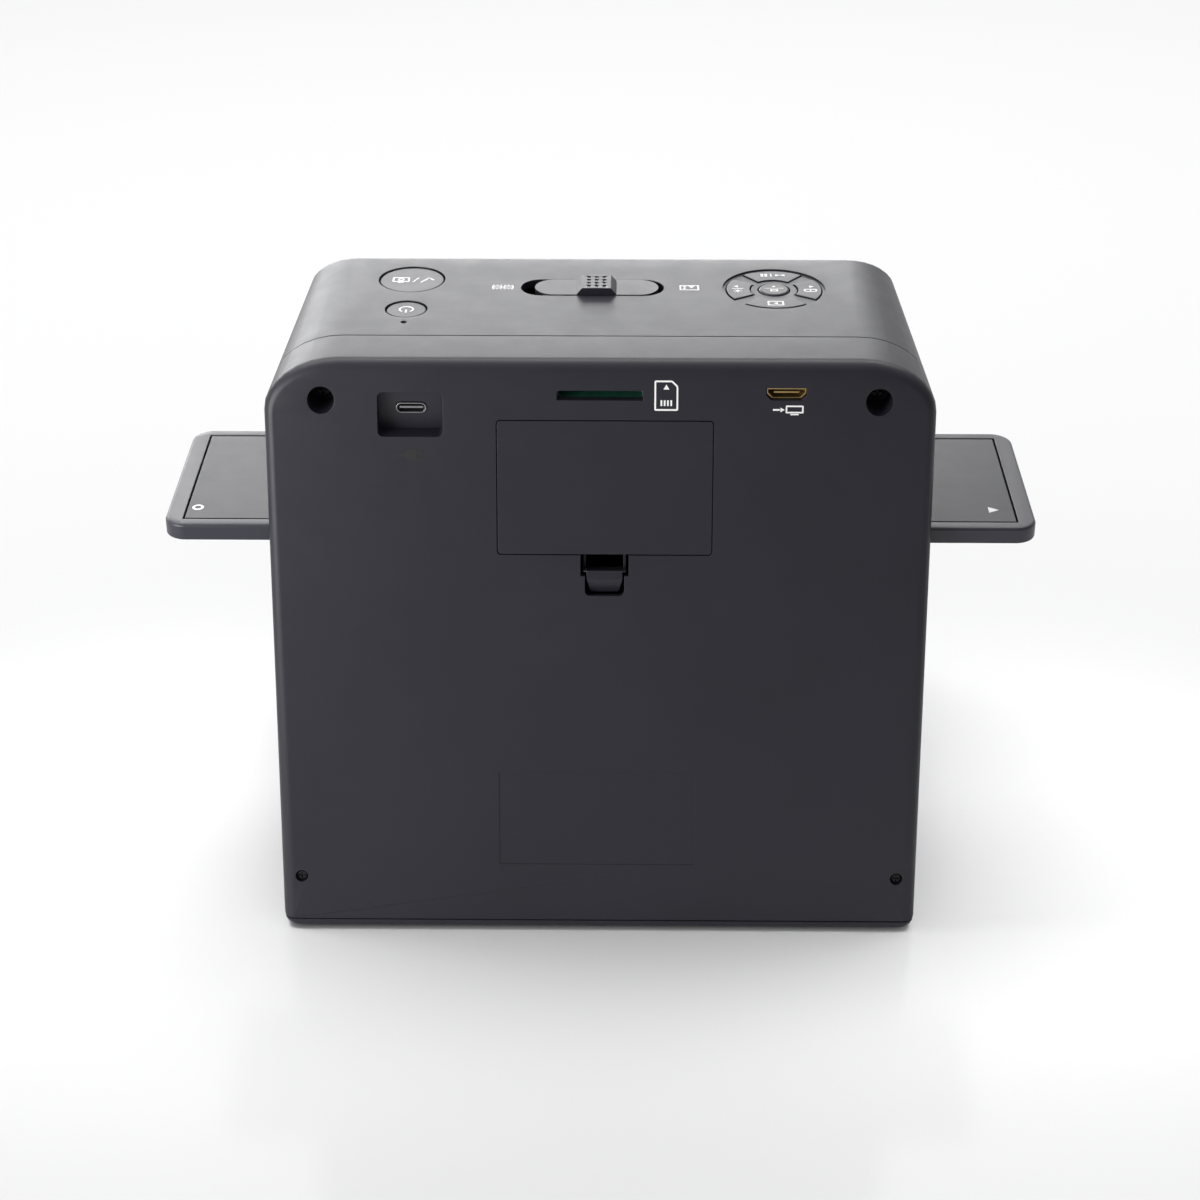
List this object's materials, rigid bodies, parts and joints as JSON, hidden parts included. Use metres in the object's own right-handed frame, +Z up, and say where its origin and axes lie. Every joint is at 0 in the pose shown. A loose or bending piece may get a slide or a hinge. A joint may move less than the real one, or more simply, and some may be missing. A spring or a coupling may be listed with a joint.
{
  "type": "photo scanner",
  "caption": "Upright photo and film scanner with leaning faces, top keys and mode slider, a film tray through its sides, a print tray in its foot and a rear battery door.",
  "frame": {"origin": "middle of the bounding box, at the treads of the feet", "axes": "+X to the right seen from the rear, +Y from the rear face to the screen, +Z up"},
  "size_m": [0.261, 0.1666, 0.1743],
  "materials": {
    "housing_plastic": "fine matt",
    "key_plastic": "satin",
    "inner_plastic": "matt",
    "rubber": "matt",
    "black_screw": "black oxide",
    "bright_steel": "bright",
    "brass": "gold plated",
    "circuit_board": "solder mask",
    "white_board": "white solder mask",
    "clear_plastic": "clear",
    "lens_glass": "polished",
    "screen_glass": "polished",
    "dark_part": "matt"
  },
  "bodies": {
    "housing": {"front_shell": "housing_plastic", "rear_cover": "housing_plastic", "base_plate": "housing_plastic", "optics_chassis": "inner_plastic", "lens_barrel": "inner_plastic", "rubber_feet": "rubber", "upper_case_screws": "black_screw", "lower_case_screws": "black_screw", "base_screws": "black_screw", "chassis_screws": "bright_steel", "board_screws": "bright_steel", "lever_pivot": "bright_steel", "usb_c_socket": "bright_steel", "sd_card_socket": "bright_steel", "video_socket": "brass", "battery_contacts": "brass", "main_board": "circuit_board", "key_board": "circuit_board", "camera_board": "circuit_board", "backlight_board": "white_board", "photo_lamps": "white_board", "backlight_panel": "clear_plastic", "status_light": "clear_plastic", "screen_glass": "screen_glass", "lcd_panel": "dark_part", "image_sensor": "dark_part", "battery_pack": "dark_part", "key_switches": "dark_part"},
    "film_carrier": {"film_tray": "housing_plastic", "film_tray_lid": "housing_plastic"},
    "print_drawer": {"photo_tray": "housing_plastic"},
    "mode_slide": {"mode_slider": "key_plastic"},
    "lens_arm": {"lens_lever": "inner_plastic", "close_up_lens": "lens_glass"},
    "capture_key": {"ok_button": "key_plastic"},
    "power_key": {"power_button": "key_plastic"},
    "pad_centre": {"key_centre": "key_plastic"},
    "pad_up": {"key_up": "key_plastic"},
    "pad_down": {"key_down": "key_plastic"},
    "pad_left": {"key_left": "key_plastic"},
    "pad_right": {"key_right": "key_plastic"},
    "door": {"battery_door": "housing_plastic"}
  },
  "joints": [
    {"name": "film_tray_slide", "type": "slide", "parent": "housing", "child": "film_carrier", "axis": [1, 0, 0], "range_m": [-0.11, 0.11]},
    {"name": "photo_tray_slide", "type": "slide", "parent": "housing", "child": "print_drawer", "axis": [0, 1, 0], "range_m": [0, 0.1]},
    {"name": "mode_slide", "type": "slide", "parent": "housing", "child": "mode_slide", "axis": [1, 0, 0], "range_m": [-0.0043, 0.0017]},
    {"name": "lens_lever_turn", "type": "hinge", "parent": "housing", "child": "lens_arm", "pos_m": [-0.00727, 0.00696, 0.1284], "axis": [0, 0, 1], "range_deg": [-12, 30]},
    {"name": "capture_press", "type": "slide", "parent": "housing", "child": "capture_key", "axis": [0, 0, -1], "range_m": [0, 0.0008], "stiffness_N_per_m": 600, "springref_m": -0.002},
    {"name": "power_press", "type": "slide", "parent": "housing", "child": "power_key", "axis": [0, 0, -1], "range_m": [0, 0.0008], "stiffness_N_per_m": 600, "springref_m": -0.002},
    {"name": "centre_press", "type": "slide", "parent": "housing", "child": "pad_centre", "axis": [0, 0, -1], "range_m": [0, 0.0008], "stiffness_N_per_m": 600, "springref_m": -0.002},
    {"name": "up_press", "type": "slide", "parent": "housing", "child": "pad_up", "axis": [0, 0, -1], "range_m": [0, 0.0008], "stiffness_N_per_m": 600, "springref_m": -0.002},
    {"name": "down_press", "type": "slide", "parent": "housing", "child": "pad_down", "axis": [0, 0, -1], "range_m": [0, 0.0008], "stiffness_N_per_m": 600, "springref_m": -0.002},
    {"name": "left_press", "type": "slide", "parent": "housing", "child": "pad_left", "axis": [0, 0, -1], "range_m": [0, 0.0008], "stiffness_N_per_m": 600, "springref_m": -0.002},
    {"name": "right_press", "type": "slide", "parent": "housing", "child": "pad_right", "axis": [0, 0, -1], "range_m": [0, 0.0008], "stiffness_N_per_m": 600, "springref_m": -0.002},
    {"name": "battery_door_hinge", "type": "hinge", "parent": "housing", "child": "door", "pos_m": [0.0015, -0.0451, 0.15502], "axis": [-1, 0, 0], "range_deg": [0, 75]}
  ],
  "couplings": [
    {"joint": "lens_lever_turn", "follows": "mode_slide", "rad_per_m": -119.59}
  ]
}
